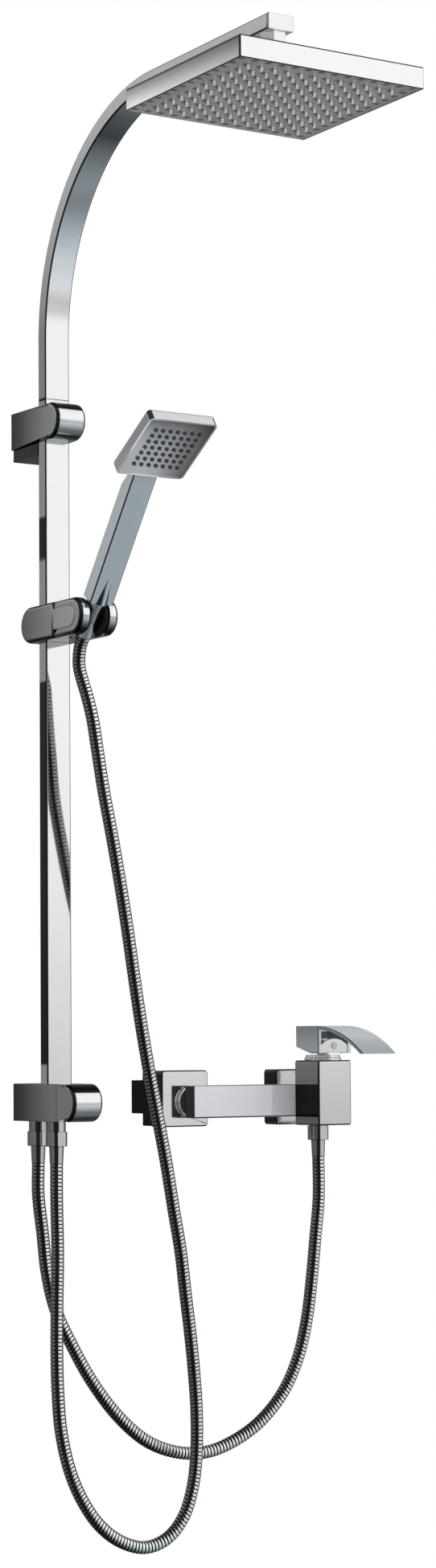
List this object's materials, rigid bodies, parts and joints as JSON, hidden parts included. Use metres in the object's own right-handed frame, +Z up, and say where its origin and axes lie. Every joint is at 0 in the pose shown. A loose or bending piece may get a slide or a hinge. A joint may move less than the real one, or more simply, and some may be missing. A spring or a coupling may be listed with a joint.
{
  "type": "rainfall shower column",
  "caption": "Wall shower column: square overhead head on a bent flat tube, sliding tilting hand shower, diverter bracket, lever mixer on two wall covers, and two flexible metal hoses.",
  "frame": {"origin": "middle of the lower bracket's back face, on the finished wall", "axes": "+Z up, -Y out of the wall into the room, +X to the right as seen from the room, towards the mixer"},
  "size_m": [0.469, 0.668, 1.541],
  "materials": {
    "chrome_tube": "polished chrome plating on stainless tube",
    "chrome_brass": "polished chrome plating on cast and turned brass",
    "chrome_plastic": "polished chrome plating on moulded plastic",
    "steel_shell": "mirror polished stainless sheet",
    "steel_plate": "fine brushed stainless sheet",
    "grey_plate": "satin chrome plating on moulded plastic",
    "steel_hose": "interlocked bright steel hose",
    "steel_small": "bright machined steel",
    "brass_inner": "machined brass, hidden inside",
    "black_plastic": "smooth black acetal",
    "white_plastic": "pale ceramic-disc cartridge body",
    "black_rubber": "black rubber",
    "clear_nozzle": "translucent grey silicone"
  },
  "bodies": {
    "column": {"upper_arm": "chrome_tube", "arm_end_cap": "chrome_tube", "arm_nipple": "brass_inner", "arm_lock_nut": "brass_inner", "lower_riser": "chrome_tube", "riser_spigot": "brass_inner", "seam_gasket": "black_rubber", "upper_bracket": "chrome_brass", "upper_wall_anchor": "black_plastic", "diverter_body": "chrome_brass", "lower_wall_anchor": "black_plastic", "bracket_grub_screws": "steel_small", "hose_stubs": "chrome_brass", "diverter_sleeve": "brass_inner", "hose_nuts": "chrome_brass", "hose_ferrules": "chrome_brass", "hose_washers": "black_rubber", "supply_hose": "steel_hose", "handset_hose": "steel_hose", "swivel_ball": "chrome_brass", "mixer_bar": "chrome_brass", "valve_block": "chrome_brass", "left_escutcheon": "chrome_brass", "right_escutcheon": "chrome_brass", "left_supply_tail": "black_plastic", "couplings": "brass_inner", "union_nuts": "chrome_brass", "cartridge": "white_plastic", "cartridge_nut": "chrome_brass"},
    "diverter_knob": {"diverter_knob": "chrome_plastic", "diverter_spindle": "brass_inner", "diverter_seals": "black_rubber"},
    "slider": {"slider_body": "chrome_plastic", "slider_fork": "chrome_plastic", "slider_liner": "black_plastic", "clamp_pad": "black_plastic", "clamp_spring": "steel_small", "button_spring": "steel_small"},
    "release_button": {"release_button": "chrome_plastic"},
    "cradle": {"cradle": "black_plastic"},
    "handset": {"handset_handle": "chrome_plastic", "handset_back": "chrome_plastic", "handset_spray_plate": "grey_plate", "handset_nozzles": "clear_nozzle", "handset_cone": "chrome_plastic", "handset_hose_nut": "chrome_brass", "handset_washer": "black_rubber", "handset_hose_top": "steel_hose"},
    "swivel_seat": {"swivel_seat": "black_plastic"},
    "overhead_head": {"head_shell": "steel_shell", "head_spray_plate": "steel_plate", "head_nozzles": "clear_nozzle", "head_gasket": "black_rubber", "head_neck": "chrome_brass", "swivel_nut": "chrome_brass"},
    "mixer_stem": {"cartridge_stem": "steel_small"},
    "lever": {"lever": "chrome_brass", "lever_front_plate": "chrome_brass", "lever_pin_and_plug": "steel_small"}
  },
  "joints": [
    {"name": "slider_height", "type": "slide", "parent": "column", "child": "slider", "axis": [0, 0, 1], "range_m": [-0.42, 0.16], "deforming": ["handset_hose", "handset_hose_top"]},
    {"name": "button_press", "type": "slide", "parent": "slider", "child": "release_button", "axis": [1, 0, 0], "range_m": [0, 0.0015], "stiffness_N_per_m": 500, "springref_m": -0.004, "deforming": ["button_spring"]},
    {"name": "cradle_tilt", "type": "hinge", "parent": "slider", "child": "cradle", "pos_m": [0, -0.141, 0.512], "axis": [1, 0, 0], "range_deg": [-25, 30], "deforming": ["handset_hose", "handset_hose_top"]},
    {"name": "handset_lift", "type": "slide", "parent": "cradle", "child": "handset", "axis": [0, -0.6018, 0.7986], "range_m": [0, 0.02], "deforming": ["handset_hose", "handset_hose_top"]},
    {"name": "head_tilt_front", "type": "hinge", "parent": "column", "child": "swivel_seat", "pos_m": [0, -0.503, 1.018], "axis": [1, 0, 0], "range_deg": [-15, 15]},
    {"name": "head_tilt_side", "type": "hinge", "parent": "swivel_seat", "child": "overhead_head", "pos_m": [0, -0.503, 1.018], "axis": [0, 1, 0], "range_deg": [-15, 15]},
    {"name": "lever_turn", "type": "hinge", "parent": "column", "child": "mixer_stem", "pos_m": [0.335, -0.073, 0.05], "axis": [0, 0, 1], "range_deg": [-45, 45]},
    {"name": "lever_lift", "type": "hinge", "parent": "mixer_stem", "child": "lever", "pos_m": [0.335, -0.073, 0.06], "axis": [-1, 0, 0], "range_deg": [0, 24]},
    {"name": "diverter_turn", "type": "hinge", "parent": "column", "child": "diverter_knob", "pos_m": [0, -0.095, 0], "axis": [0, 1, 0], "range_deg": [0, 90]}
  ]
}
